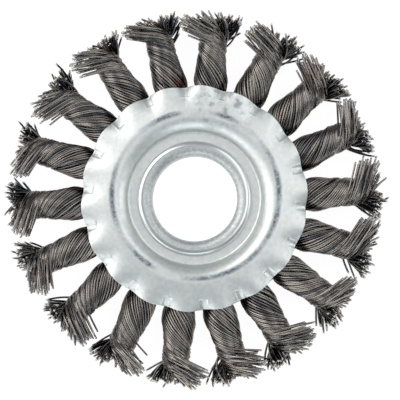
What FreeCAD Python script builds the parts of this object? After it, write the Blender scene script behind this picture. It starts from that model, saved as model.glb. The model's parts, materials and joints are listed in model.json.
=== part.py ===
"""Twisted-knot wire wheel brush for an angle grinder, in millimetres.

The wheel's axis is Z, its origin is the centre of the arbor bore, and knot_01 points along +X.
A steel anchor disc holds eighteen knots. Each knot is a bundle of wires that is folded through a hole
near the disc's rim, so that its two legs straddle the rim, and the legs are then twisted round each other
and left to splay at the tip. Two dished face plates clamp the legs, and their rims are crimped down
between the knots. A bush that is belled over at both ends rivets plates and disc together.
"""

import FreeCAD
import Part

import math
import os

# Arbor bush
bore_radius = 11.115
bush_wall = 1.2
flange_reach = 3.8
flange_height = 1.5
bell_reach = 2.3
bell_depth = 1.9
flange_edge = 0.4

# Anchor disc
disc_thickness = 3.0
hole_radius = 2.4
rim_web = 1.4
edge_round = 0.3

# Face plates
sheet = 0.9
flat_width = 1.9
foot_radius = 0.8
skirt_reach = 5.7
dent_depth = 1.6
dent_angle = 24.0
dent_retreat = 0.5
bend_share = 0.4
arch_share = 0.13
stake_width = 2.0
stake_length = 2.3
stake_margin = 0.35
stake_depth = 0.25
seam_overlap = 0.3
seam_tuck = 0.015

# Knots
knot_count = 18
leg_thickness = 3.2
leg_width = 5.2
leg_end_share = 0.84
fold_radius = 1.8
twist_overlap = 0.6
neck_length = 10.7
tuft_length = 9.3
tuft_height_share = 1.2
tuft_crown_share = 0.78
tuft_groove_share = 0.84
lobe_sharpness = 1.4
wire_groups = 10
groove_share = 0.92

# Clearances
fit_gap = 0.05
wire_gap = 0.1
side_gap = 0.35

# Sizes that follow from the ones above
pitch = 360.0 / knot_count
half_pitch = math.radians(pitch / 2)
hub_hole_radius = bore_radius + bush_wall + fit_gap
flange_radius = bore_radius + flange_reach
flat_radius = flange_radius + flat_width
disc_face = disc_thickness / 2
plate_face = disc_face + sheet
fold_height = disc_face + wire_gap + leg_thickness / 2 - fold_radius
dome_radius = fold_radius + leg_thickness / 2 + wire_gap + sheet
foot_rise = plate_face + foot_radius - fold_height
dome_centre = flat_radius + math.sqrt((dome_radius + foot_radius) ** 2 - foot_rise**2)
hole_circle = dome_centre - fold_radius
disc_radius = hole_circle + hole_radius + rim_web
rim_radius = disc_radius + skirt_reach
waist = rim_radius + neck_length
tip = waist + tuft_length
root_half_width = rim_radius * math.sin(half_pitch) - side_gap

# Cross-sections of a knot: where along its stretch, how far the pair of legs has turned, and half the
# long and short sides of the oval, as shares of the half width that the pitch leaves at the plates' rim.
# The first stretch runs from the disc to the plates' rim, the second from there to the waist.
gripped_sections = ((0.0, 0.0, 0.95, 0.55), (0.48, 24.0, 0.915, 0.59), (1.0, 52.0, 1.0, 0.63))
neck_sections = (
    (0.17, 72.0, 0.99, 0.70),
    (0.45, 108.0, 0.90, 0.72),
    (0.72, 148.0, 0.96, 0.80),
    (0.87, 182.0, 0.87, 0.80),
    (1.0, 214.0, 0.80, 0.78),
)
# Sections of the splayed tuft, which has two lobes, one of wires from each strand: where its wire groups and
# the grooves between them lie along the tuft, how far they have turned, the angle from straight up to the
# front lobe, and the reach of the front lobe, of the rear lobe and of the twist between the two, as shares of
# the half width left by the pitch.
tuft_sections = (
    (0.13, 0.13, 246.0, 60.0, 0.82, 0.65, 0.48),
    (0.30, 0.30, 268.0, 57.0, 0.97, 0.83, 0.39),
    (0.50, 0.50, 290.0, 60.0, 0.97, 0.92, 0.31),
    (0.70, 0.70, 308.0, 65.0, 0.93, 0.88, 0.26),
    (0.85, 0.82, 324.0, 72.0, 0.78, 0.74, 0.23),
    (1.00, 0.88, 336.0, 78.0, 0.33, 0.30, 0.16),
)


def turn_about_axis(shape, degrees):
    """A copy of a shape, turned about the wheel's axis."""
    copy = shape.copy()
    copy.rotate(FreeCAD.Vector(0, 0, 0), FreeCAD.Vector(0, 0, 1), degrees)
    return copy


def radial(radius, height):
    """A point of a profile that lies in the XZ plane."""
    return FreeCAD.Vector(radius, 0, height)


def revolve(face):
    return face.revolve(FreeCAD.Vector(0, 0, 0), FreeCAD.Vector(0, 0, 1), 360)


def line_between(one, two):
    return Part.LineSegment(one, two).toShape()


def arc_between(centre, radius, start, end):
    """An arc in the XZ plane, with its angles in degrees from +X towards +Z."""
    through = [math.radians(angle) for angle in (start, (start + end) / 2, end)]
    points = [centre + radial(radius * math.cos(a), radius * math.sin(a)) for a in through]
    return Part.Arc(*points).toShape()


def oval_radius(angle, half_long, half_short):
    """Distance from the centre of an oval to its edge, at an angle from its long axis."""
    return half_long * half_short / math.hypot(half_short * math.cos(angle), half_long * math.sin(angle))


def rim_section():
    """Turn in radians and half sides of the knot's oval where it leaves the plates."""
    _, turn, long_share, short_share = gripped_sections[-1]
    return math.radians(turn), long_share * root_half_width, short_share * root_half_width


def crimp_height():
    """Height of a plate's outer face at its rim, where it passes over a knot."""
    turn, half_long, half_short = rim_section()
    return math.hypot(half_long * math.cos(turn), half_short * math.sin(turn)) + wire_gap + sheet


def crest_angle():
    """How far from a knot's centre line its highest side lies at the plates' rim, in degrees."""
    turn, half_long, half_short = rim_section()
    top = math.hypot(half_long * math.cos(turn), half_short * math.sin(turn))
    aside = (half_long**2 - half_short**2) * math.sin(turn) * math.cos(turn) / top
    return math.degrees(math.atan2(aside, rim_radius))


def skirt_tangent():
    """Angle at which the plate's skirt leaves the dome over the folded wires, in degrees."""
    across = rim_radius - dome_centre
    rise = crimp_height() - fold_height
    lean = math.acos(dome_radius / math.hypot(across, rise))
    return math.degrees(math.atan2(rise, across) + lean)


def plate_profile():
    """The section of the plate's middle: a flat round the bush, a foot, and a dome over the folds."""
    dome = radial(dome_centre, fold_height)
    foot = radial(flat_radius, plate_face + foot_radius)
    wall = math.degrees(math.atan2(foot.z - dome.z, foot.x - dome.x))
    path = Part.Wire(
        [
            line_between(radial(hub_hole_radius, plate_face), radial(flat_radius, plate_face)),
            arc_between(foot, foot_radius, -90, wall - 180),
            arc_between(dome, dome_radius, wall, skirt_tangent()),
        ]
    )
    return path.makeOffset2D(-sheet, 0, True, True)


def heading(degrees):
    """A unit step in the XZ plane, at an angle from +X towards +Z."""
    return radial(math.cos(math.radians(degrees)), math.sin(math.radians(degrees)))


def skirt_poles(share, inset):
    """Poles of the skirt's line from dome to rim, where the crimp has pressed down a share of its depth.

    The skirt starts a little inside the dome's sheet, so that the two join as one piece.
    """
    leave = skirt_tangent()
    fall = leave - 90
    steep = fall - share * dent_angle
    start = radial(dome_centre, fold_height) + heading(leave) * (dome_radius - inset)
    rim = radial(rim_radius - share * dent_retreat, crimp_height() - share * dent_depth)
    rim = rim - heading(steep + 90) * inset
    reach = (rim_radius - dome_centre) * bend_share
    return [
        start - heading(fall) * seam_overlap,
        start + heading(fall) * reach,
        rim - heading(steep) * reach,
        rim,
    ]


def skirt_line(share, inset):
    line = Part.BezierCurve()
    line.setPoles(skirt_poles(share, inset))
    return line


def skirt_section(share):
    """The skirt's closed section."""
    lines = [skirt_line(share, inset) for inset in (seam_tuck, sheet - seam_tuck)]
    ends = [line_between(*(line.value(at) for line in lines)) for at in (0, 1)]
    return Part.Wire(Part.sortEdges([line.toShape() for line in lines] + ends)[0])


def make_dent():
    """One dent of the crimped skirt, cut from a longer loft so that its ends run true."""
    shares = (0.0, arch_share, 1.0, arch_share)
    sections = [
        turn_about_axis(skirt_section(shares[quarter_pitch % 4]), quarter_pitch * pitch / 4)
        for quarter_pitch in range(-4, 9)
    ]
    sector = Part.makeCylinder(2 * rim_radius, 2 * dome_radius, radial(0, 0), radial(0, 1), pitch)
    return Part.makeLoft(sections, True).common(sector)


def stake_mark():
    """The small flat that the crimping tool's nose leaves in the bottom of a dent, as a box to cut out."""
    valley = skirt_line(1.0, 0.0)
    outer = valley.value(valley.parameterAtDistance(-stake_margin, 1.0))
    inner = valley.value(valley.parameterAtDistance(-stake_margin - stake_length, 1.0))
    tilt = math.degrees(math.atan2(inner.z - outer.z, outer.x - inner.x))
    box = Part.makeBox(stake_length, stake_width, dent_depth)
    box.translate(FreeCAD.Vector(0, -stake_width / 2, -stake_depth))
    box.rotate(FreeCAD.Vector(0, 0, 0), FreeCAD.Vector(0, 1, 0), tilt)
    box.translate(inner)
    return turn_about_axis(box, pitch / 2)


def make_face_plate():
    """The dished plate on the +Z side, with its rim crimped down between the knots."""
    dent = make_dent()
    skirt = [turn_about_axis(dent, pitch * number) for number in range(knot_count)]
    plate = revolve(plate_profile()).fuse(skirt)
    plate = plate.cut([turn_about_axis(stake_mark(), pitch * number) for number in range(knot_count)])
    return turn_about_axis(plate, crest_angle())


def make_anchor_disc():
    """The disc that the bundles are folded through, with rounded hole edges."""
    disc = Part.makeCylinder(disc_radius, disc_thickness, FreeCAD.Vector(0, 0, -disc_face))
    disc = disc.cut(
        Part.makeCylinder(hub_hole_radius, disc_thickness, FreeCAD.Vector(0, 0, -disc_face))
    )
    hole = Part.makeCylinder(hole_radius, disc_thickness, radial(hole_circle, -disc_face))
    disc = disc.cut([turn_about_axis(hole, pitch * number) for number in range(knot_count)])
    worn = [
        edge
        for edge in disc.Edges
        if isinstance(edge.Curve, Part.Circle) and abs(edge.Curve.Radius - hub_hole_radius) > fit_gap
    ]
    return disc.makeFillet(edge_round, worn)


def make_bush():
    """The arbor bush: a straight bore that bells out at both ends over a rounded flange."""
    top = plate_face + flange_height
    straight = top - bell_depth
    barrel = bore_radius + bush_wall
    crest = bore_radius + bell_reach
    bell = Part.Ellipse(
        radial(bore_radius, straight), radial(crest, top), radial(crest, straight)
    )
    edge = Part.Ellipse(
        radial(flange_radius, plate_face + flange_edge),
        radial(crest, top),
        radial(crest, plate_face + flange_edge),
    )
    bell_arc = Part.ArcOfEllipse(bell, *quarter(bell, radial(bore_radius, straight), radial(crest, top)))
    edge_arc = Part.ArcOfEllipse(
        edge, *quarter(edge, radial(crest, top), radial(flange_radius, plate_face + flange_edge))
    )
    outline = [
        line_between(radial(bore_radius, 0), radial(bore_radius, straight)),
        bell_arc.toShape(),
        edge_arc.toShape(),
        line_between(radial(flange_radius, plate_face + flange_edge), radial(flange_radius, plate_face)),
        line_between(radial(flange_radius, plate_face), radial(barrel, plate_face)),
        line_between(radial(barrel, plate_face), radial(barrel, 0)),
        line_between(radial(barrel, 0), radial(bore_radius, 0)),
    ]
    half = revolve(Part.Face(Part.Wire(Part.sortEdges(outline)[0])))
    other = half.mirror(FreeCAD.Vector(0, 0, 0), FreeCAD.Vector(0, 0, 1))
    return half.fuse(other).removeSplitter()


def quarter(ellipse, one, two):
    """The parameters of the shorter arc of an ellipse between two of its points."""
    first, second = sorted((ellipse.parameter(one), ellipse.parameter(two)))
    return (first, second) if second - first < math.pi else (second, first + 2 * math.pi)


def skin(rings, tip_point=None):
    """A solid with flat facets through rings of points, closed by flat ends or by a tip."""
    faces = []
    count = len(rings[0])
    for lower, upper in zip(rings, rings[1:]):
        for n in range(count):
            m = (n + 1) % count
            faces.append(facet(lower[n], lower[m], upper[m]))
            faces.append(facet(lower[n], upper[m], upper[n]))
    faces.append(facet(*reversed(rings[0])))
    if tip_point is None:
        faces.append(facet(*rings[-1]))
    else:
        faces += [facet(rings[-1][n], rings[-1][(n + 1) % count], tip_point) for n in range(count)]
    return Part.makeSolid(Part.makeShell(faces))


def facet(*points):
    return Part.Face(Part.makePolygon(list(points) + [points[0]]))


def section_ring(where, turn, half_long, half_short):
    """Points round a knot's oval section, with a groove between neighbouring wire groups.

    The angle runs from +Z towards +Y, so that the front wires lean anticlockwise as they go outwards.
    """
    points = []
    for n in range(2 * wire_groups):
        angle = math.pi * n / wire_groups
        reach = oval_radius(angle, half_long, half_short) * (groove_share if n % 2 else 1.0)
        heading = math.radians(turn) + angle
        points.append(FreeCAD.Vector(where, reach * math.sin(heading), reach * math.cos(heading)))
    return points


def splay_reach(heading, lean, front, rear, core):
    """How far the tuft's surface lies from the knot's axis, in a heading from straight up."""
    toward = math.cos(heading - lean)
    lobe = front if toward > 0 else rear
    return core + (lobe - core) * abs(toward) ** lobe_sharpness


def tuft_ring(ridge_at, groove_at, turn, lean, front, rear, core):
    """Points round the splayed tuft, alternately on a wire group's end and in the groove beside it."""
    points = []
    for n in range(2 * wire_groups):
        share, depth = (groove_at, tuft_groove_share) if n % 2 else (ridge_at, 1.0)
        where = waist + share * tuft_length
        half_width = where * math.tan(half_pitch) - side_gap / 2
        heading = math.radians(turn) + math.pi * n / wire_groups
        reach = depth * half_width * splay_reach(heading, math.radians(lean), front, rear, core)
        up = tuft_height_share * reach * math.cos(heading)
        points.append(FreeCAD.Vector(where, reach * math.sin(heading), up))
    return points


def make_twist():
    """The twisted part of a knot, from the disc's rim to the splayed wire ends."""
    start = disc_radius + wire_gap
    rings = []
    for share, turn, long_share, short_share in gripped_sections:
        where = start + share * (rim_radius - start)
        rings.append(section_ring(where, turn, long_share * root_half_width, short_share * root_half_width))
    for share, turn, long_share, short_share in neck_sections:
        where = rim_radius + share * neck_length
        rings.append(section_ring(where, turn, long_share * root_half_width, short_share * root_half_width))
    rings += [tuft_ring(*section) for section in tuft_sections]
    return skin(rings, FreeCAD.Vector(waist + tuft_crown_share * tuft_length, 0, 0))


def leg_ring(centre, outward, half_width, half_thick):
    """Six points round a leg of the bundle."""
    across = FreeCAD.Vector(0, half_width, 0)
    corners = ((1, 0), (0.5, 1), (-0.5, 1), (-1, 0), (-0.5, -1), (0.5, -1))
    return [centre + across * aside + outward * (half_thick * out) for aside, out in corners]


def leg_rings(side):
    """Rings along one leg, on side +1 or -1 of the disc, from the middle of the fold into the twist."""
    post = hole_radius - wire_gap
    rings = []
    for lean in (0, 30, 60, 90):
        over, up = math.cos(math.radians(lean)), math.sin(math.radians(lean))
        centre = radial(hole_circle + fold_radius * (1 - over), side * (fold_height + fold_radius * up))
        half_width = post + (leg_width / 2 - post) * lean / 90
        rings.append(leg_ring(centre, radial(-over, side * up), half_width, leg_thickness / 2))
    half_width, half_thick = leg_end_share * leg_width / 2, leg_end_share * leg_thickness / 2
    end = radial(disc_radius + twist_overlap, side * (disc_face + wire_gap + half_thick))
    return rings + [leg_ring(end, radial(0, side), half_width, half_thick)]


def make_fold():
    """The bundle where it is folded through the disc's hole: a leg, the fold, and the other leg."""
    return skin(leg_rings(-1)[::-1] + leg_rings(1))


def make_knot():
    """One knot: the folded legs and the twist, as one bundle."""
    return make_twist().fuse(make_fold())


def write(shape, name):
    solid = shape.Solids[0] if len(shape.Solids) == 1 else shape
    solid.exportStep("parts/" + name + ".step")


def main():
    os.makedirs("parts", exist_ok=True)
    front = make_face_plate()
    rear = front.copy()
    rear.rotate(FreeCAD.Vector(0, 0, 0), FreeCAD.Vector(1, 0, 0), 180)
    write(front, "front_face_plate")
    write(rear, "rear_face_plate")
    write(make_anchor_disc(), "anchor_disc")
    write(make_bush(), "arbor_bush")
    knot = make_knot()
    for number in range(knot_count):
        write(turn_about_axis(knot, pitch * number), "knot_%02d" % (number + 1))


main()
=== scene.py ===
"""Twisted-knot wire wheel: the dressed model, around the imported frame.

Each knot is drawn wire by wire. The two face plates and the arbor bush are surfaces of their own, fine
enough for the crimped rim to shade as pressed sheet does. The anchor disc is the frame's own.
"""

import json
import math

import bpy
import numpy as np
from bpy.props import FloatProperty, FloatVectorProperty, IntProperty, PointerProperty
from mathutils import Matrix, Vector


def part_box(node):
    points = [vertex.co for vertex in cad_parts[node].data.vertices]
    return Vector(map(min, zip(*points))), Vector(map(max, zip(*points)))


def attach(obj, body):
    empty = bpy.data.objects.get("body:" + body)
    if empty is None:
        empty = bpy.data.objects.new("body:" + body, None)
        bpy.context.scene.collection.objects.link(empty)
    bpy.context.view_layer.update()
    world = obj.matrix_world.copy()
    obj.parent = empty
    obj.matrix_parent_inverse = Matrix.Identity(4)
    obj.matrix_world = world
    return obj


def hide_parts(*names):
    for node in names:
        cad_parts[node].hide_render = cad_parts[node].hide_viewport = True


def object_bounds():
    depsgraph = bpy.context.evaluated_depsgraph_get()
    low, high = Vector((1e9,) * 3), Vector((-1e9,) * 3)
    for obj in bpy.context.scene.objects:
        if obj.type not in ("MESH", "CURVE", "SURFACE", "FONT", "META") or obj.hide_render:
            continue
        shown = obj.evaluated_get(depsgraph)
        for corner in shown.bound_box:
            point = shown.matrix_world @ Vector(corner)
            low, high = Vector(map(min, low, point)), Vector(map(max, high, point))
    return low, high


bl_info = {
    "name": "Twisted-knot wire wheel",
    "version": (1, 0, 0),
    "blender": (4, 5, 0),
    "location": "3D View > Sidebar > Wire Wheel",
    "description": "Draws a wire wheel brush with every wire of its knots",
    "category": "Add Mesh",
}

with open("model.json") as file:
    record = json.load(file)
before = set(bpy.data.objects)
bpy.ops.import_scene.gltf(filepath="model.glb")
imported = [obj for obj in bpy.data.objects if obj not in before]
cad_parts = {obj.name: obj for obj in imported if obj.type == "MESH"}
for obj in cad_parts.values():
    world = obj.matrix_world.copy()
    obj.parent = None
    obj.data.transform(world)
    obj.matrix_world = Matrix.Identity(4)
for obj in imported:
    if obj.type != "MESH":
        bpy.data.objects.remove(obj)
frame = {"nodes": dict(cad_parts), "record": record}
cad_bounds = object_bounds()

MM = 0.001
BODY = "root"
KNOTS = sorted(node for node in frame["nodes"] if node.startswith("knot_"))
PITCH = 2 * math.pi / len(KNOTS)
BORE_RADIUS = frame["record"]["mounts"][0]["dims"]["r_mm"] * MM
BUSH_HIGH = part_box("arbor_bush")[1]
PLATE_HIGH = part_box("front_face_plate")[1]
DISC_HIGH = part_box("anchor_disc")[1]
FLOOR = cad_bounds[0][2]

# Where the wires leave the anchor disc, and where the tufts begin
WIRE_START, WAIST = DISC_HIGH.x + 0.15 * MM, 40.1 * MM
# Rings of wires in a knot: how many, and at what share of its section's reach
WIRE_RINGS = ((6, 0.12), (14, 0.3), (20, 0.48), (24, 0.66), (25, 0.83), (29, 1.0))
# A knot's oval section in mm, at eight even steps from the disc to the waist: half its length, half its
# thickness, and how far it has drifted aside
HALF_LENGTHS = (4.5, 4.4, 4.72, 4.6, 4.3, 4.15, 4.05, 3.85)
HALF_THICKNESSES = (2.6, 2.75, 3.05, 3.3, 3.45, 3.7, 4.0, 3.75)
DRIFTS = (0, 0, 0.02, 0.1, 0.3, 0.4, 0.5, 0.5)
# How far each knot's tip is out of its even place, in degrees about the wheel's axis, from a seed of its own
LEAN_SEED, MOST_LEAN = 18, 1
KNOT_LEANS = np.random.default_rng(LEAN_SEED).uniform(-MOST_LEAN, MOST_LEAN, len(KNOTS))
# About a tip's radius over its distance from the plates' rim, which is where a knot bends to lean
LEAN_LEVER = 2.6
# Where a knot has begun to rust: its number, the spot's radius, place aside and reach in mm, and how much
RUSTY_SPOTS = ((6, 30.5, -2.2, 1.4, 0.8), (3, 43, 3.5, 1.3, 0.3), (3, 31, 1.0, 0.9, 0.35))

# Powers in watts of the main lamp, of the lamps high up and of those near the horizon
KEY_POWER, HIGH_POWER, LOW_POWER = 2.5, 1.1, 1.5
# Softboxes: name, azimuth and angle from the wheel's axis in degrees, power, tint
SOFTBOXES = (
    ("key", 135, 45, KEY_POWER, (1, 0.985, 0.965)),
    ("side_fill", 180, 45, HIGH_POWER, (1, 0.99, 0.98)),
    ("back_fill", 45, 45, HIGH_POWER, (1, 1, 1)),
    ("top_fill", 0, 20, HIGH_POWER, (1, 0.99, 0.98)),
    ("low_right", 0, 70, LOW_POWER, (0.95, 0.98, 1)),
    ("low_left", 180, 70, LOW_POWER, (1, 1, 1)),
    ("low_front_left", 225, 70, LOW_POWER, (0.97, 0.99, 1)),
    ("low_front", 270, 70, LOW_POWER, (0.88, 0.94, 1)),
)
# How white the floor is to the camera, and how strong and how blue the ceiling's light is
FLOOR_GLOW = 0.93
CEILING_LIGHT = 0.38
CEILING_TINT = (0.84, 0.92, 1, 1)


def linear(hex_colour):
    """The linear red, green and blue of an sRGB hex value."""
    parts = [int(hex_colour[n : n + 2], 16) / 255 for n in (1, 3, 5)]
    return [c / 12.92 if c <= 0.04045 else ((c + 0.055) / 1.055) ** 2.4 for c in parts]


def length(name, about, millimetres):
    """A size that a user may change, given in millimetres and held in metres."""
    return FloatProperty(name=name, description=about, default=millimetres * MM, unit="LENGTH")


def colour(name, about, hex_colour):
    """A colour that a user may change, given as an sRGB hex value and held as linear light."""
    return FloatVectorProperty(
        name=name, description=about, default=linear(hex_colour), subtype="COLOR", min=0, max=1
    )


class WheelSizes(bpy.types.PropertyGroup):
    wire: length("Wire", "Diameter of one brush wire", 0.55)
    sheet: length("Sheet", "Thickness of the face plates", 0.9)
    dent_depth: length("Dent depth", "How far the rim is pressed down between two knots", 1.6)
    splay: length("Splay", "How far the wire ends reach to either side of a knot", 7.7)
    seed: IntProperty(name="Seed", description="Start of the random draws for the wires", default=7)


class WheelColours(bpy.types.PropertyGroup):
    zinc: colour("Zinc", "Clear zinc plating on the pressed plates", "#DFE1DD")
    zinc_shade: colour("Zinc shade", "Darker bloom in the plating", "#B9BFC2")
    # A dark zinc tone: the painted dark reflection on the dome's crest, and the darker patches on the skirt
    scuff: colour("Scuff", "Plating worn through to the steel", "#5C6874")
    bush: colour("Bush", "Clear zinc plating on the turned bush", "#D6D9D7")
    # Painted shade inside the bush's bell
    bush_shade: colour("Bush shade", "Dull plating inside the bush's bell", "#A8ABAA")
    steel: colour("Steel", "Bare steel plate", "#7C7B78")
    wire: colour("Wire", "Hard-drawn steel wire", "#98918A")
    # Dark drawing film on some wires, and painted shade on the tuft's clockwise side
    wire_dark: colour("Dark wire", "Wire with drawing lime and oil left on it", "#343842")
    cut_end: colour("Cut end", "Fresh steel at the wires' sheared ends", "#CFCBC6")
    rust: colour("Rust", "First rust near the plates", "#7A4A26")
    floor: colour("Floor", "Pale studio floor", "#F4F4F4")


def surface_mesh(name, points):
    """A mesh over a grid of points, given as rows, columns and XYZ, that is closed in both directions."""
    rows, columns = points.shape[:2]
    index = np.arange(rows * columns).reshape(rows, columns)
    right, up = np.roll(index, -1, 1), np.roll(index, -1, 0)
    quads = np.stack([index, right, np.roll(up, -1, 1), up], -1).reshape(-1, 4)
    return mesh_from(name, points.reshape(-1, 3), [quads])


def mesh_from(name, points, face_sets, attributes=None):
    """A smooth mesh from points and arrays of faces, with point attributes given as name and values."""
    mesh = bpy.data.meshes.new(name)
    mesh.vertices.add(len(points))
    mesh.vertices.foreach_set("co", points.astype(np.float32).ravel())
    corners = np.concatenate([faces.ravel() for faces in face_sets])
    sizes = np.concatenate([np.full(len(faces), faces.shape[1]) for faces in face_sets])
    mesh.loops.add(len(corners))
    mesh.loops.foreach_set("vertex_index", corners.astype(np.int32))
    mesh.polygons.add(len(sizes))
    starts = np.concatenate([[0], np.cumsum(sizes)[:-1]])
    mesh.polygons.foreach_set("loop_start", starts.astype(np.int32))
    mesh.polygons.foreach_set("loop_total", sizes.astype(np.int32))
    mesh.update(calc_edges=True)
    mesh.polygons.foreach_set("use_smooth", np.ones(len(sizes), bool))
    for label, values in (attributes or {}).items():
        layer = mesh.attributes.new(label, "FLOAT", "POINT")
        layer.data.foreach_set("value", values.astype(np.float32).ravel())
    return mesh


def piece(name, mesh, material, node):
    """An object that rides on the wheel in place of a node of the frame, which is hidden, with a material
    slot of its own.
    """
    made = bpy.data.objects.new(name, mesh)
    bpy.context.scene.collection.objects.link(made)
    mesh.materials.append(material)
    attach(made, BODY)
    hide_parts(node)


# Face plates


def dent_share(angle):
    """How far the rim is pressed down at an angle, from 0 on top of an arch to 1 in a dent.

    The arches are one minus the absolute cosine of half the wave's angle, with the dent's cusp rounded off.
    """
    rounding = 0.16
    wave = np.sqrt(np.cos(np.pi * angle / PITCH) ** 2 + rounding**2)
    top, bottom = math.sqrt(1 + rounding**2), rounding
    return (top - wave) / (top - bottom)


def plate_meridian(sizes):
    """Radius, height and dent weight along a plate's outer face, from the bush to the rim.

    A flat, a concave foot arc, a convex dome arc, and a skirt that falls in a straight line. The weight is
    nought up to the dome's end and then grows with the square of the way along the skirt. The skirt's rows
    stand closer where the stake marks are.
    """
    flat, dome, foot = 4, 24, 9
    hub_hole, flat_width = BORE_RADIUS + 1.25 * MM, 1.9 * MM
    dome_radius, foot_radius = 4.4 * MM, 0.8 * MM
    skirt_reach, rim_z = 7.7 * MM, 4.76 * MM
    face = DISC_HIGH.z + sizes.sheet
    centre_z = PLATE_HIGH.z - dome_radius
    flat_end = BUSH_HIGH.x + flat_width
    foot_rise = face + foot_radius - centre_z
    centre_r = flat_end + math.sqrt((dome_radius + foot_radius) ** 2 - foot_rise**2)
    wall = math.atan2(foot_rise, flat_end - centre_r)
    rim_r = centre_r + skirt_reach
    leave = math.radians(82)
    r = [np.linspace(hub_hole, flat_end, flat, endpoint=False)]
    z = [np.full(flat, face)]
    turn = np.linspace(-math.pi / 2, wall - math.pi, foot, endpoint=False)
    r.append(flat_end + foot_radius * np.cos(turn))
    z.append(face + foot_radius + foot_radius * np.sin(turn))
    turn = np.linspace(wall, leave, dome, endpoint=False)
    r.append(centre_r + dome_radius * np.cos(turn))
    z.append(centre_z + dome_radius * np.sin(turn))
    way = np.concatenate([np.linspace(0, 0.52, 10), np.linspace(0.55, 0.97, 38), [0.985, 1.0]])
    start_r = centre_r + dome_radius * math.cos(leave)
    start_z = centre_z + dome_radius * math.sin(leave)
    r.append(start_r + (rim_r - start_r) * way)
    z.append(start_z + (rim_z - start_z) * way)
    weight = np.concatenate([np.zeros(flat + foot + dome), way**2])
    return np.concatenate(r), np.concatenate(z), weight


def stake_relief(radius, offside):
    """Height of the crimping tool's mark in each dent: a thin raised outline round a shallow floor."""
    low, high, half_width = 26.5 * MM, 28.9 * MM, 0.98 * MM
    outline, soft = 0.26 * MM, 0.14 * MM
    raised, sunk = 0.07 * MM, 0.1 * MM
    heights = []
    for grown in (0, outline):
        along = soft_step(radius, low - grown, soft) - soft_step(radius, high + grown, soft)
        heights.append(along * (1 - soft_step(offside, half_width + grown, soft)))
    floor, whole = heights
    return raised * (whole - floor) - sunk * floor


def plate_grid(sizes, steps_per_dent):
    """Points over the front plate: its outer face from bush to rim, and its inner face back again.

    The columns crowd together in the dents: their angle is the even one with a sine of it added. The inner
    face is the outer one without its stake marks, a sheet's thickness away, with a quarter of the rows.
    """
    crowding, retreat, arch_offset = 0.7, 0.5 * MM, math.radians(3.42)
    r, z, weight = plate_meridian(sizes)
    even = np.arange(steps_per_dent * len(KNOTS)) / steps_per_dent
    angle = PITCH * (even + crowding * np.sin(2 * np.pi * even) / (2 * np.pi))
    share = dent_share(angle)
    radius = r[:, None] - retreat * weight[:, None] ** 2 * share
    height = z[:, None] - sizes.dent_depth * weight[:, None] * share
    along_r, along_z = np.gradient(radius, axis=0), np.gradient(height, axis=0)
    size = np.hypot(along_r, along_z)
    normal_r, normal_z = -along_z / size, along_r / size
    from_arch = np.minimum(angle % PITCH, PITCH - angle % PITCH)
    relief = stake_relief(radius, radius * (PITCH / 2 - from_arch))
    outer = [radius + normal_r * relief, height + normal_z * relief]
    inner_rows = slice(None, None, -4)
    inner_r = (radius - normal_r * sizes.sheet)[inner_rows]
    inner_z = (height - normal_z * sizes.sheet)[inner_rows]
    edge = edge_rows((radius, height), (normal_r, normal_z), sizes.sheet)
    full_r = np.concatenate([outer[0][:-1], edge[0], inner_r[1:]])
    full_z = np.concatenate([outer[1][:-1], edge[1], inner_z[1:]])
    turned = angle + arch_offset
    return np.stack([full_r * np.cos(turned), full_r * np.sin(turned), full_z], -1)


def edge_rows(middle, normal, sheet):
    """A blunt round edge at the rim: rows of points on a flattened half circle across the sheet."""
    bulge = 0.35
    turn = np.linspace(90, -90, 7)[:, None] * math.pi / 180
    centre_r = middle[0][-1] - normal[0][-1] * sheet / 2
    centre_z = middle[1][-1] - normal[1][-1] * sheet / 2
    out_r, out_z = normal[1][-1], -normal[0][-1]
    rows_r = centre_r + sheet / 2 * (np.sin(turn) * normal[0][-1] + bulge * np.cos(turn) * out_r)
    rows_z = centre_z + sheet / 2 * (np.sin(turn) * normal[1][-1] + bulge * np.cos(turn) * out_z)
    return rows_r, rows_z


def soft_step(value, place, width):
    """Nought below a place and one above it, with a smooth ramp of a given width between."""
    t = np.clip((value - place) / width + 0.5, 0, 1)
    return t * t * (3 - 2 * t)


class WHEEL_OT_face_plates(bpy.types.Operator):
    """Draw the two pressed face plates with their crimped rims"""

    bl_idname = "wheel.face_plates"
    bl_label = "Face plates"

    def execute(self, context):
        sizes = context.scene.wheel_sizes
        zinc = zinc_plated_sheet(context.scene.wheel_colours)
        turn_over = np.array([1, -1, -1])
        front = surface_mesh("front_plate_skin", plate_grid(sizes, 32))
        rear = surface_mesh("rear_plate_skin", plate_grid(sizes, 16) * turn_over)
        piece("front_plate_skin", front, zinc, "front_face_plate")
        piece("rear_plate_skin", rear, zinc, "rear_face_plate")
        return {"FINISHED"}


# Arbor bush


def bush_profile():
    """Radius and height round the bush's whole section: bore, bell, rounded rim, seat and barrel, mirrored.

    The bell is a quarter ellipse that flares from the bore up to the crest, and the rim is another that falls
    from there to the lip.
    """
    top, lip = BUSH_HIGH.z, BUSH_HIGH.x
    bush_wall, bell_reach, bell_depth, edge_height = 1.2 * MM, 2.3 * MM, 1.9 * MM, 0.4 * MM
    seat_above_disc = 0.9 * MM
    crest = BORE_RADIUS + bell_reach
    seat = DISC_HIGH.z + seat_above_disc
    barrel = BORE_RADIUS + bush_wall
    quarter = np.linspace(0, math.pi / 2, 22)
    bore = np.linspace(0, top - bell_depth, 6, endpoint=False)
    bell_r = crest - (crest - BORE_RADIUS) * np.cos(quarter)
    bell_z = top - bell_depth + bell_depth * np.sin(quarter)
    rim_r = crest + (lip - crest) * np.sin(quarter[1:])
    rim_z = seat + edge_height + (top - seat - edge_height) * np.cos(quarter[1:])
    seat_r = np.linspace(lip, barrel, 6)
    r = np.concatenate([np.full(6, BORE_RADIUS), bell_r, rim_r, seat_r, np.full(5, barrel)])
    z = np.concatenate([bore, bell_z, rim_z, np.full(6, seat), np.linspace(seat, 0, 6)[1:]])
    return np.concatenate([r, r[-2:0:-1]]), np.concatenate([z, -z[-2:0:-1]])


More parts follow.
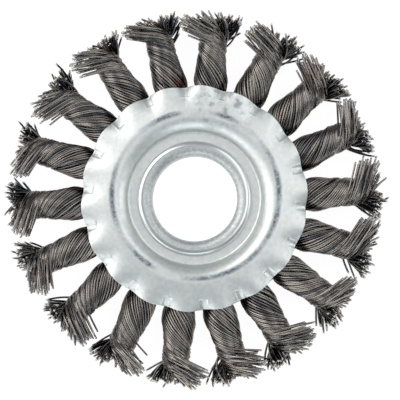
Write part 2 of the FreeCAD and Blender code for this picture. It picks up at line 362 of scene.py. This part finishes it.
class WHEEL_OT_bush(bpy.types.Operator):
    """Draw the arbor bush, belled over at both ends"""

    bl_idname = "wheel.bush"
    bl_label = "Arbor bush"

    def execute(self, context):
        r, z = bush_profile()
        angle = np.linspace(0, 2 * math.pi, 160, endpoint=False)
        points = np.stack(
            [np.outer(r, np.cos(angle)), np.outer(r, np.sin(angle)), np.outer(z, np.ones_like(angle))], -1
        )
        mesh = surface_mesh("bush_skin", points[::-1])
        bush = zinc_plated_bush(context.scene.wheel_colours)
        piece("bush_skin", mesh, bush, "arbor_bush")
        return {"FINISHED"}


# Knots


def along_knot(fraction, values):
    """A curve of the fifth degree, fitted to values spaced evenly from the anchor disc to a knot's waist."""
    places = np.linspace(0, 1, len(values))
    return np.polynomial.Polynomial.fit(places, values, 5)(fraction)


def wire_homes(draw):
    """Where each wire lies in the bundle: rings of wires round the middle, as share of reach and angle."""
    uneven_reach, uneven_angle = 0.014, 0.09
    shares, angles = [], []
    for wires, share in WIRE_RINGS:
        shares.append(np.full(wires, share) + draw.normal(0, uneven_reach, wires))
        place = np.arange(wires) + draw.uniform(0, 1) + draw.normal(0, uneven_angle, wires)
        angles.append(2 * np.pi / wires * place)
    return np.concatenate(shares), np.concatenate(angles)


def section_turn(fraction):
    """How far a knot's oval section has turned, at a fraction of the way from the anchor disc to the waist.

    150 degrees times the fraction plus 68 degrees times its fourth power.
    """
    return np.radians(150 * fraction + 68 * fraction**4)


def wire_turn(out):
    """How far a wire has gone round the knot, and its rate, at a distance from the wheel's axis.

    13 degrees for each millimetre from the anchor disc, and from a radius of 33 mm more and more: there the
    rate grows by 0.34 degrees a millimetre times the square of the millimetres past it.
    """
    steady, growth = 13, 0.34
    past = np.maximum(out / MM - 33, 0)
    turn = np.radians(steady * (out - WIRE_START) / MM + growth * past**3 / 3)
    return turn, np.radians(steady + growth * past**2) / MM


def bound_part(share, home, release, draw, wire):
    """Distance along the knot, and sideways and upward place, of every wire up to where it comes free.

    The wires turn round the knot inside an oval section, which itself turns, a little slower. Past the waist
    the section shrinks, and holds only the wires that haven't come free yet. Each wire wanders by a sine of
    its own. A notch along each long side parts the two legs: a bell curve of the angle's cosine, deepest for
    the outermost wires.
    """
    stations, most_wander, notch_depth, notch_width = 24, 0.035, 0.16, 0.35
    way = np.linspace(0, 1, stations)
    out = WIRE_START + (release[:, None] - WIRE_START) * way
    fraction = (out - WIRE_START) / (WAIST - WIRE_START)
    bound = np.minimum(fraction, 1)
    shrink = 1 - 1.1 * np.maximum(fraction - 1.12, 0)
    long_half = (along_knot(bound, HALF_LENGTHS) * MM - wire / 2) * shrink
    short_half = (along_knot(bound, HALF_THICKNESSES) * MM - wire / 2) * shrink
    drift = along_knot(bound, DRIFTS) * MM
    phase = draw.uniform(0, 6.3, len(home))[:, None]
    wander = most_wander * np.sin(draw.uniform(2, 6, len(home))[:, None] * fraction + phase)
    turn, ahead = section_turn(bound), wire_turn(out)[0]
    angle = home[:, None] + (ahead - turn) + wander / np.maximum(share, 0.3)[:, None]
    notch = 1 - notch_depth * np.exp(-((np.cos(angle) / notch_width) ** 2)) * share[:, None] ** 2
    reach = share[:, None] * (1 + 0.5 * wander) * notch
    long_way = reach * long_half * np.cos(angle)
    short_way = reach * short_half * np.sin(angle)
    side = long_way * np.sin(turn) + short_way * np.cos(turn)
    up = long_way * np.cos(turn) - short_way * np.sin(turn)
    return out, side, up, drift


def release_places(share, home, draw):
    """Where along the knot each wire comes free: the outer ones from the waist on and the inner ones later.

    Each does so as it crosses the knot's top or its underside, because there it can spring aside: at the
    crossing that is nearest to the place wanted for it.
    """
    places = np.linspace(WAIST - 0.5 * MM, WAIST + 7 * MM, 160)
    crossing = np.radians(2 + draw.normal(0, 24, len(home)))[:, None]
    angle = home[:, None] + wire_turn(places)[0]
    beyond = (angle + 0.2 * np.cos(angle) - crossing) % math.pi
    crossed = np.diff(beyond, axis=1) < 0
    inner = 1 - share**2
    chance = draw.uniform(0, 1, len(home)) ** 1.2
    wanted = WAIST - 0.3 * MM + 6.6 * MM * (0.3 * inner + (0.85 - 0.15 * inner) * chance)
    away = np.abs(places[:-1] - wanted[:, None])
    return places[np.argmin(np.where(crossed, away, 1), 1)]


def free_ends(share, out, side, up, draw, sizes):
    """The free end of every wire: it leaves along its helix, and straightens as it goes.

    Its lean off the knot's axis settles exponentially from the helix's to one of its own, which is larger for
    the outer wires and smaller on the underside. Its heading round the axis keeps turning a little, and all
    the wires trail to the anticlockwise side. Each end is cut at the trim's radius or at the tuft's side,
    whichever comes first, and its length is found in a few rounds. A few wires are left longer.
    """
    wires, steps, rounds = len(share), 11, 4
    settling, swinging, longest = 1.6 * MM, 0.7 * MM, 13 * MM
    radius, heading = np.hypot(side, up), np.arctan2(side, up)
    lean = np.arctan(radius * wire_turn(out)[1])[:, None]
    own_lean = np.radians(7 + 66 * share) + draw.normal(0, math.radians(3.5), wires)
    own_lean = np.minimum(own_lean, math.radians(70))
    long_ones = draw.uniform(0, 1, wires) < 0.04
    edge = np.where(np.cos(heading) > 0, 1, -0.88) * sizes.splay + draw.normal(0, 0.75 * MM, wires)
    edge = edge * (1 + 0.25 * long_ones)
    free = np.full(wires, 9 * MM)
    facing = heading[:, None] + draw.normal(0, math.radians(8), wires)[:, None]
    under = np.maximum(-np.cos(facing), 0)
    own_lean = own_lean[:, None] * (1 - under * (0.5 - 0.3 * share[:, None]))
    spring = (0.3 - 0.1 * under) * share[:, None] + draw.normal(0, 0.1, wires)[:, None]
    trim = draw.normal(49.0 * MM, 0.75 * MM, wires) + MM * long_ones - 1.3 * MM * (edge / sizes.splay) ** 2
    for _ in range(rounds):
        along = free[:, None] * (np.arange(steps) + 0.5) / steps
        settle = 1 - np.exp(-along / settling)
        lean_now = lean + (own_lean - lean) * settle
        swing = math.radians(12) * (1 - np.exp(-along / swinging)) + math.radians(1.8) * along / MM
        swing = swing * (1 + 0.6 * under)
        trail = 0.38 * settle * (1 - 0.7 * under) * np.minimum(1.4 * share[:, None] - 0.1, 1)
        around = facing + swing
        ways = np.stack(
            [
                np.cos(lean_now),
                np.sin(lean_now) * (np.cos(around) + spring * np.sin(around)) + trail,
                np.sin(lean_now) * (spring * np.cos(around) - 0.85 * np.sin(around)),
            ]
        )
        ways /= np.linalg.norm(ways, axis=0)
        step = (free / steps)[:, None]
        paths = [place[:, None] + np.cumsum(way * step, 1) for place, way in zip((out, side, up), ways)]
        short_of_trim = (trim - out) / (np.hypot(paths[0][:, -1], paths[1][:, -1]) - out)
        short_of_edge = (edge - side) / (paths[1][:, -1] - side)
        short_of_edge = np.where(short_of_edge < 0, 1.4, short_of_edge)
        free = np.minimum(free * np.clip(np.minimum(short_of_trim, short_of_edge), 0.4, 1.4), longest)
    return paths


def tube_mesh(name, paths, radius, attributes):
    """Tubes of five sides along an array of paths, as wires, stations and XYZ, with flat closed ends."""
    wires, stations = paths.shape[:2]
    sides = 5
    askew = np.array([0.31, 0.55, 0.78])
    along = np.gradient(paths, axis=1)
    along /= np.linalg.norm(along, axis=2, keepdims=True)
    beside = np.cross(along, askew)
    beside /= np.linalg.norm(beside, axis=2, keepdims=True)
    across = np.cross(along, beside)
    turn = 2 * np.pi * np.arange(sides) / sides
    ring = beside[:, :, None] * np.cos(turn)[:, None] + across[:, :, None] * np.sin(turn)[:, None]
    points = paths[:, :, None] + radius * ring
    index = np.arange(wires * stations * sides).reshape(wires, stations, sides)
    near, far = index[:, :-1], index[:, 1:]
    quads = np.stack([near, np.roll(near, -1, 2), np.roll(far, -1, 2), far], -1).reshape(-1, 4)
    caps = np.concatenate([index[:, 0, ::-1], index[:, -1]])
    spread = {label: np.repeat(values.ravel(), sides) for label, values in attributes.items()}
    return mesh_from(name, points.reshape(-1, 3), [quads, caps], spread)


def knot_paths(number, sizes):
    """All the wires of a knot, in the wheel's own frame, with a tint, a mark at the cut end and rust.

    The tint is a power of an even draw, so that few wires are dark, plus painted shade: a step darker on the
    tuft's clockwise side, where its wires lie back in shade.
    """
    draw = np.random.default_rng(sizes.seed + number)
    share, home = wire_homes(draw)
    release = release_places(share, home, draw)
    out, side, up, drift = bound_part(share, home, release, draw, sizes.wire)
    free = free_ends(share, out[:, -1], side[:, -1], up[:, -1], draw, sizes)
    out, side, up = (np.concatenate([bound, loose], 1) for bound, loose in zip((out, side, up), free))
    side[:, : drift.shape[1]] += drift
    side[:, drift.shape[1] :] += drift[:, -1:]
    side = side + np.radians(KNOT_LEANS[number]) * LEAN_LEVER * np.maximum(out - PLATE_HIGH.x, 0)
    up = up * (1 + 0.2 * soft_step(out, WAIST + 2.5 * MM, 5 * MM))
    low = FLOOR + sizes.wire / 2
    up = np.clip(up, low, -low)
    turned = PITCH * number
    paths = np.stack(
        [out * np.cos(turned) - side * np.sin(turned), out * np.sin(turned) + side * np.cos(turned), up], -1
    )
    tint = np.repeat(0.85 * draw.uniform(0, 1, len(share))[:, None] ** 2.2, paths.shape[1], 1)
    # Painted shade: the tuft's clockwise side darker, where its wires lie back in shade
    tint += 0.5 * soft_step(-side, 1.5 * MM, 3 * MM) * soft_step(out, WAIST + 3 * MM, 4 * MM)
    tint = np.minimum(tint, 1)
    cut = np.zeros(paths.shape[:2])
    cut[:, -1] = 1
    return paths, {"wire_tint": tint, "cut_end": cut, "rust": rust_on(number, out, side)}


def rust_on(number, out, side):
    """How rusty each place is: a bell curve of the distance from a spot's middle."""
    amount = np.zeros(out.shape)
    for knot, spot_out, spot_side, reach, share in RUSTY_SPOTS:
        if knot == number + 1:
            away = ((out - spot_out * MM) ** 2 + (side - spot_side * MM) ** 2) / (reach * MM) ** 2
            amount = np.maximum(amount, share * np.exp(-away))
    return amount


class WHEEL_OT_knots(bpy.types.Operator):
    """Draw every wire of the twisted knots"""

    bl_idname = "wheel.knots"
    bl_label = "Knots"

    def execute(self, context):
        sizes = context.scene.wheel_sizes
        steel = hard_drawn_wire(context.scene.wheel_colours)
        for number, node in enumerate(KNOTS):
            paths, attributes = knot_paths(number, sizes)
            mesh = tube_mesh(node + "_wires", paths, sizes.wire / 2, attributes)
            piece(node + "_wires", mesh, steel, node)
        return {"FINISHED"}


# Materials


def new_material(name):
    """An empty node material and its node tree."""
    material = bpy.data.materials.new(name)
    material.use_nodes = True
    material.node_tree.nodes.clear()
    return material, material.node_tree


def add(tree, kind, sockets=(), output=0, **settings):
    """Add a node and give one of its outputs, or the node itself where it has none.

    Sockets are values or other nodes' outputs, in the order of the node's sockets or by number or name.
    """
    node = tree.nodes.new(kind)
    for name, value in settings.items():
        setattr(node, name, value)
    for key, value in sockets.items() if isinstance(sockets, dict) else enumerate(sockets):
        if isinstance(value, bpy.types.NodeSocket):
            tree.links.new(value, node.inputs[key])
        else:
            node.inputs[key].default_value = value
    return node.outputs[output] if node.outputs else node


def zinc_plated_sheet(colours):
    """Clear zinc plating on pressed steel sheet: satin and nearly white, with a bloom in grains of 1.1 mm.

    The crest of the dome carries a painted dark reflection: a ring, a little off centre, broken up by specks
    of 0.7 mm and patches of 9 mm. One part of the skirt is darker in patches of 1.9 mm. A noise scale is one
    over the size in metres.
    """
    material, tree = new_material("zinc_plated_sheet")
    place = add(tree, "ShaderNodeTexCoord", output="Object")
    flat_place = add(tree, "ShaderNodeVectorMath", [place, (1, 1, 0)], operation="MULTIPLY")
    bloom = add(tree, "ShaderNodeTexNoise", {"Vector": place, "Scale": 900, "Detail": 4})
    speckle = add(tree, "ShaderNodeTexNoise", {"Vector": place, "Scale": 1500, "Detail": 3})
    broad = add(tree, "ShaderNodeTexNoise", {"Vector": place, "Scale": 110, "Detail": 1})
    bloomed = add(tree, "ShaderNodeMapRange", [bloom, 0.35, 0.75, 0, 0.45])
    tone = add(
        tree,
        "ShaderNodeMix",
        {0: bloomed, 6: [*colours.zinc, 1], 7: [*colours.zinc_shade, 1]},
        output=2,
        data_type="RGBA",
    )
    # The painted reflection is a ring half a millimetre wide that fades over 0.7 mm each side
    ring_centre, ring_radius = (0.46 * MM, 0.84 * MM, 0), 21.64 * MM
    from_centre = add(
        tree, "ShaderNodeVectorMath", [flat_place, ring_centre], output="Value", operation="DISTANCE"
    )
    away = add(tree, "ShaderNodeMath", [from_centre, ring_radius], operation="SUBTRACT")
    away = add(tree, "ShaderNodeMath", [away], operation="ABSOLUTE")
    near = add(tree, "ShaderNodeMapRange", [away, 0.25 * MM, 0.95 * MM, 1, 0])
    specks = add(tree, "ShaderNodeMapRange", [speckle, 0.3, 0.62, 0.45, 1])
    patches = add(tree, "ShaderNodeMapRange", [broad, 0.4, 0.6, 0.12, 1])
    # Painted dark reflection: the ring, broken up by specks and patches
    scuff = add(tree, "ShaderNodeMath", [near, specks], operation="MULTIPLY")
    scuff = add(tree, "ShaderNodeMath", [scuff, patches], operation="MULTIPLY")
    # The skirt's darker patches fade out between 4 and 11 mm from a point on the skirt
    smudge_centre = (8.5 * MM, 25.5 * MM, 0)
    from_smudges = add(
        tree, "ShaderNodeVectorMath", [flat_place, smudge_centre], output="Value", operation="DISTANCE"
    )
    near = add(tree, "ShaderNodeMapRange", [from_smudges, 4 * MM, 11 * MM, 1, 0])
    smudges = add(tree, "ShaderNodeTexNoise", {"Vector": place, "Scale": 520, "Detail": 2})
    smudges = add(tree, "ShaderNodeMapRange", [smudges, 0.52, 0.68, 0, 0.55])
    smudges = add(tree, "ShaderNodeMath", [smudges, near], operation="MULTIPLY")
    # The painted reflection and the skirt's darker patches, in one dark tone
    worn = add(tree, "ShaderNodeMath", [scuff, smudges], operation="MAXIMUM")
    worn_tone = {0: worn, 6: tone, 7: [*colours.scuff, 1]}
    tone = add(tree, "ShaderNodeMix", worn_tone, output=2, data_type="RGBA")
    bump = add(tree, "ShaderNodeBump", {"Strength": 0.08, "Distance": 0.05 * MM, "Height": bloom})
    finish = {"Metallic": 1, "Roughness": 0.46, "Base Color": tone, "Normal": bump}
    add(tree, "ShaderNodeOutputMaterial", [add(tree, "ShaderNodeBsdfPrincipled", finish)])
    return material


def zinc_plated_bush(colours):
    """Zinc plating, with painted shade inside the bell in mottles of 0.7 mm, where it is also rougher."""
    material, tree = new_material("zinc_plated_bush")
    place = add(tree, "ShaderNodeTexCoord", output="Object")
    flat_place = add(tree, "ShaderNodeVectorMath", [place, (1, 1, 0)], operation="MULTIPLY")
    distance = add(tree, "ShaderNodeVectorMath", [flat_place], output="Value", operation="LENGTH")
    inside = add(tree, "ShaderNodeMapRange", [distance, 13.0 * MM, 13.5 * MM, 1, 0])
    mottle = add(tree, "ShaderNodeTexNoise", {"Vector": place, "Scale": 1500, "Detail": 3})
    mottle = add(tree, "ShaderNodeMapRange", [mottle, 0.3, 0.7, 0.2, 0.9])
    # Painted shade: the bell darkened, in mottles
    dull = add(tree, "ShaderNodeMath", [mottle, inside], operation="MULTIPLY")
    tone = add(
        tree,
        "ShaderNodeMix",
        {0: dull, 6: [*colours.bush, 1], 7: [*colours.bush_shade, 1]},
        output=2,
        data_type="RGBA",
    )
    roughness = add(tree, "ShaderNodeMapRange", [inside, 0, 1, 0.28, 0.5])
    finish = {"Metallic": 1, "Roughness": roughness, "Base Color": tone}
    add(tree, "ShaderNodeOutputMaterial", [add(tree, "ShaderNodeBsdfPrincipled", finish)])
    return material


def mill_finish_steel(colours):
    """Hot-rolled and pickled steel plate with an oil film, blotched in patches of 1.4 mm."""
    material, tree = new_material("mill_finish_steel")
    place = add(tree, "ShaderNodeTexCoord", output="Object")
    blotches = add(tree, "ShaderNodeTexNoise", {"Vector": place, "Scale": 700, "Detail": 5})
    darker = [*(0.6 * c for c in colours.steel), 1]
    tone = add(
        tree, "ShaderNodeMix", {0: blotches, 6: [*colours.steel, 1], 7: darker}, output=2, data_type="RGBA"
    )
    finish = {"Metallic": 1, "Roughness": 0.45, "Base Color": tone}
    add(tree, "ShaderNodeOutputMaterial", [add(tree, "ShaderNodeBsdfPrincipled", finish)])
    return material


def hard_drawn_wire(colours):
    """Hard-drawn carbon steel wire: each has more or less dark drawing film, with painted shade on the tuft's
    clockwise side, and a bright sheared end.
    """
    material, tree = new_material("hard_drawn_wire")
    tint = add(tree, "ShaderNodeAttribute", output="Fac", attribute_name="wire_tint")
    cut = add(tree, "ShaderNodeAttribute", output="Fac", attribute_name="cut_end")
    rusty = add(tree, "ShaderNodeAttribute", output="Fac", attribute_name="rust")
    # The dark film, and the painted shade on the tuft's clockwise side
    tone = add(
        tree,
        "ShaderNodeMix",
        {0: tint, 6: [*colours.wire, 1], 7: [*colours.wire_dark, 1]},
        output=2,
        data_type="RGBA",
    )
    for amount, over in ((rusty, colours.rust), (cut, colours.cut_end)):
        tone = add(tree, "ShaderNodeMix", {0: amount, 6: tone, 7: [*over, 1]}, output=2, data_type="RGBA")
    finish = {"Metallic": 1, "Roughness": 0.27, "Base Color": tone}
    add(tree, "ShaderNodeOutputMaterial", [add(tree, "ShaderNodeBsdfPrincipled", finish)])
    return material


class WHEEL_OT_disc(bpy.types.Operator):
    """Give the anchor disc its finish"""

    bl_idname = "wheel.disc"
    bl_label = "Anchor disc"

    def execute(self, context):
        steel = mill_finish_steel(context.scene.wheel_colours)
        for slot in frame["nodes"]["anchor_disc"].material_slots:
            slot.material = steel
        return {"FINISHED"}


# Stage


def pale_floor(colours):
    """Painted studio board that the camera and the metal see as white, with the wheel's shadow on it."""
    material, tree = new_material("pale_studio_board")
    seen = add(tree, "ShaderNodeLightPath", output="Is Camera Ray")
    for ray in ("Is Glossy Ray", "Is Transmission Ray"):
        also = add(tree, "ShaderNodeLightPath", output=ray)
        seen = add(tree, "ShaderNodeMath", [seen, also], operation="MAXIMUM")
    strength = add(tree, "ShaderNodeMath", [seen, FLOOR_GLOW], operation="MULTIPLY")
    glow = add(tree, "ShaderNodeEmission", {"Strength": strength})
    board = add(tree, "ShaderNodeBsdfDiffuse", [[*(0.2 * c for c in colours.floor), 1]])
    add(tree, "ShaderNodeOutputMaterial", [add(tree, "ShaderNodeAddShader", [board, glow])])
    return material


def softbox(name, azimuth, off_axis, power, tint):
    """A square area lamp, aimed at the wheel: angles in degrees round the wheel's axis and down from it."""
    away, size = 0.9, 0.5
    around, down = math.radians(azimuth), math.radians(off_axis)
    across = math.sin(down)
    place = Vector((across * math.cos(around), across * math.sin(around), math.cos(down))) * away
    lamp = bpy.data.lights.new(name, "AREA")
    lamp.size = size
    lamp.energy = power
    lamp.color = tint
    made = bpy.data.objects.new(name, lamp)
    made.location = place
    made.rotation_euler = (-place).to_track_quat("-Z", "Y").to_euler()
    bpy.context.scene.collection.objects.link(made)


def studio_world():
    """A backdrop round the horizon that is white to the camera and the metal, under a pale grey ceiling."""
    world = bpy.data.worlds.new("studio")
    world.use_nodes = True
    tree = world.node_tree
    tree.nodes.clear()
    direction = add(tree, "ShaderNodeTexCoord", output="Generated")
    upward = add(tree, "ShaderNodeSeparateXYZ", [direction], output="Z")
    white = add(tree, "ShaderNodeMapRange", [upward, 0.05, 0.15, 1, 0])
    glossy = add(tree, "ShaderNodeLightPath", output="Is Glossy Ray")
    through = add(tree, "ShaderNodeLightPath", output="Is Transmission Ray")
    mirrored = add(tree, "ShaderNodeMath", [glossy, through], operation="MAXIMUM")
    white = add(tree, "ShaderNodeMath", [white, mirrored], operation="MULTIPLY")
    camera_ray = add(tree, "ShaderNodeLightPath", output="Is Camera Ray")
    white = add(tree, "ShaderNodeMath", [white, camera_ray], operation="MAXIMUM")
    strength = add(tree, "ShaderNodeMapRange", [white, 0, 1, CEILING_LIGHT, 1])
    tint = add(
        tree,
        "ShaderNodeMix",
        {0: white, 6: CEILING_TINT, 7: [1, 1, 1, 1]},
        output=2,
        data_type="RGBA",
    )
    sky = add(tree, "ShaderNodeBackground", {"Color": tint, "Strength": strength})
    add(tree, "ShaderNodeOutputWorld", [sky])
    bpy.context.scene.world = world


def look_down_camera():
    """The photograph's camera: nearly straight above, with the wheel turned two degrees anticlockwise."""
    distance, sensor_width = 0.5, 36
    frame_width = 104.6 * MM
    roll = math.radians(2)
    tilt = Vector((0.035, -0.04, 1)).normalized()
    right = Vector((math.cos(roll), -math.sin(roll), 0))
    up = tilt.cross(right).normalized()
    right = up.cross(tilt).normalized()
    aim = right * 1.36 * MM - up * 0.29 * MM
    camera = bpy.data.cameras.new("camera")
    camera.sensor_width = sensor_width
    camera.lens = sensor_width * distance / frame_width
    made = bpy.data.objects.new("camera", camera)
    place = aim + tilt * distance
    made.matrix_world = Matrix.Translation(place) @ Matrix((right, up, tilt)).transposed().to_4x4()
    bpy.context.scene.collection.objects.link(made)
    bpy.context.scene.camera = made


class WHEEL_OT_stage(bpy.types.Operator):
    """Set up the floor, the lamps and the camera"""

    bl_idname = "wheel.stage"
    bl_label = "Stage"

    def execute(self, context):
        # A square of six metres, so that its edge is out of sight from any side
        half = 3.0
        corners = np.array([[-half, -half, 0], [half, -half, 0], [half, half, 0], [-half, half, 0]])
        corners[:, 2] = FLOOR
        mesh = mesh_from("floor", corners, [np.array([[0, 1, 2, 3]])])
        mesh.materials.append(pale_floor(context.scene.wheel_colours))
        floor = bpy.data.objects.new("floor", mesh)
        context.scene.collection.objects.link(floor)
        studio_world()
        for lamp in SOFTBOXES:
            softbox(*lamp)
        look_down_camera()
        context.scene.view_settings.view_transform = "Standard"
        return {"FINISHED"}


class WHEEL_PT_panel(bpy.types.Panel):
    """The wheel's pieces, in the sidebar"""

    bl_label = "Wire Wheel"
    bl_space_type = "VIEW_3D"
    bl_region_type = "UI"
    bl_category = "Wire Wheel"

    def draw(self, context):
        for group in (context.scene.wheel_sizes, context.scene.wheel_colours):
            for name in type(group).__annotations__:
                self.layout.prop(group, name)
        for operator in OPERATORS:
            self.layout.operator(operator.bl_idname)


OPERATORS = (WHEEL_OT_face_plates, WHEEL_OT_bush, WHEEL_OT_disc, WHEEL_OT_knots, WHEEL_OT_stage)
CLASSES = (WheelSizes, WheelColours, *OPERATORS, WHEEL_PT_panel)


def register():
    for each in CLASSES:
        bpy.utils.register_class(each)
    bpy.types.Scene.wheel_sizes = PointerProperty(type=WheelSizes)
    bpy.types.Scene.wheel_colours = PointerProperty(type=WheelColours)


def unregister():
    del bpy.types.Scene.wheel_sizes
    del bpy.types.Scene.wheel_colours
    for each in reversed(CLASSES):
        bpy.utils.unregister_class(each)


def main():
    register()
    bpy.ops.wheel.face_plates()
    bpy.ops.wheel.bush()
    bpy.ops.wheel.disc()
    bpy.ops.wheel.knots()
    bpy.ops.wheel.stage()


if __name__ == "__main__":
    main()
